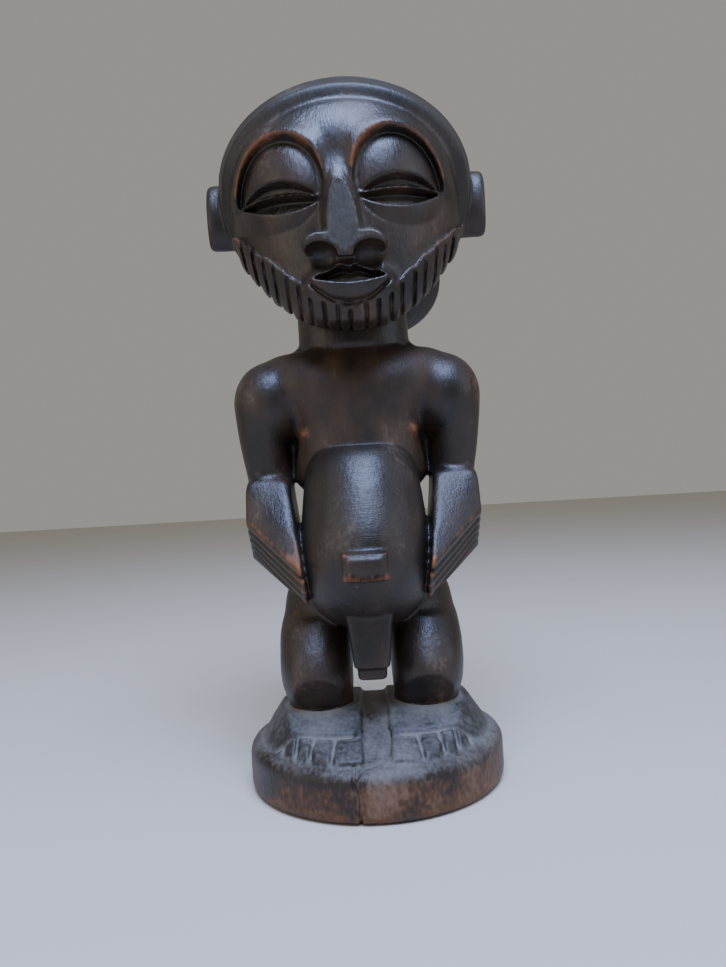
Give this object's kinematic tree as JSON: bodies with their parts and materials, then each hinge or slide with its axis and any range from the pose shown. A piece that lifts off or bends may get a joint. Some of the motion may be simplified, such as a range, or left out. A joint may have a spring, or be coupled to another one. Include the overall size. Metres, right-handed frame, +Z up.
{
  "type": "carved wooden figure",
  "caption": "Carved wooden fertility figure with a large bearded head, hands laid on a swollen belly and bent legs, standing on a round plinth.",
  "frame": {"origin": "centre of the plinth's underside, below the middle of the figure's plan", "axes": "+Z up, the figure faces -Y, its left side is +X"},
  "size_m": [0.126, 0.116, 0.3],
  "materials": {
    "patinated_wood": "dark brown-black patina, waxed and rubbed smooth by handling",
    "skin_worn_wood": "dark patina worn back to warm brown on the high edges",
    "coiffure_wood": "dark patina over finely grooved wood",
    "dusty_wood": "dark wood with grey dust settled in the cuts",
    "worn_plinth_wood": "patina worn through to orange-brown wood with vertical grain"
  },
  "bodies": {
    "root": {"plinth": "worn_plinth_wood", "right_foot": "dusty_wood", "left_foot": "dusty_wood", "right_leg": "patinated_wood", "left_leg": "patinated_wood", "hips": "patinated_wood", "phallus": "patinated_wood", "trunk": "patinated_wood", "belly": "patinated_wood", "navel": "skin_worn_wood", "right_upper_arm": "patinated_wood", "left_upper_arm": "patinated_wood", "right_forearm": "patinated_wood", "left_forearm": "patinated_wood", "right_hand": "skin_worn_wood", "left_hand": "skin_worn_wood", "neck": "patinated_wood", "head": "skin_worn_wood", "nose": "skin_worn_wood", "right_brow": "skin_worn_wood", "left_brow": "skin_worn_wood", "right_eye": "skin_worn_wood", "left_eye": "skin_worn_wood", "mouth": "skin_worn_wood", "beard": "coiffure_wood", "right_ear": "patinated_wood", "left_ear": "patinated_wood", "coiffure": "coiffure_wood"}
  },
  "joints": []
}
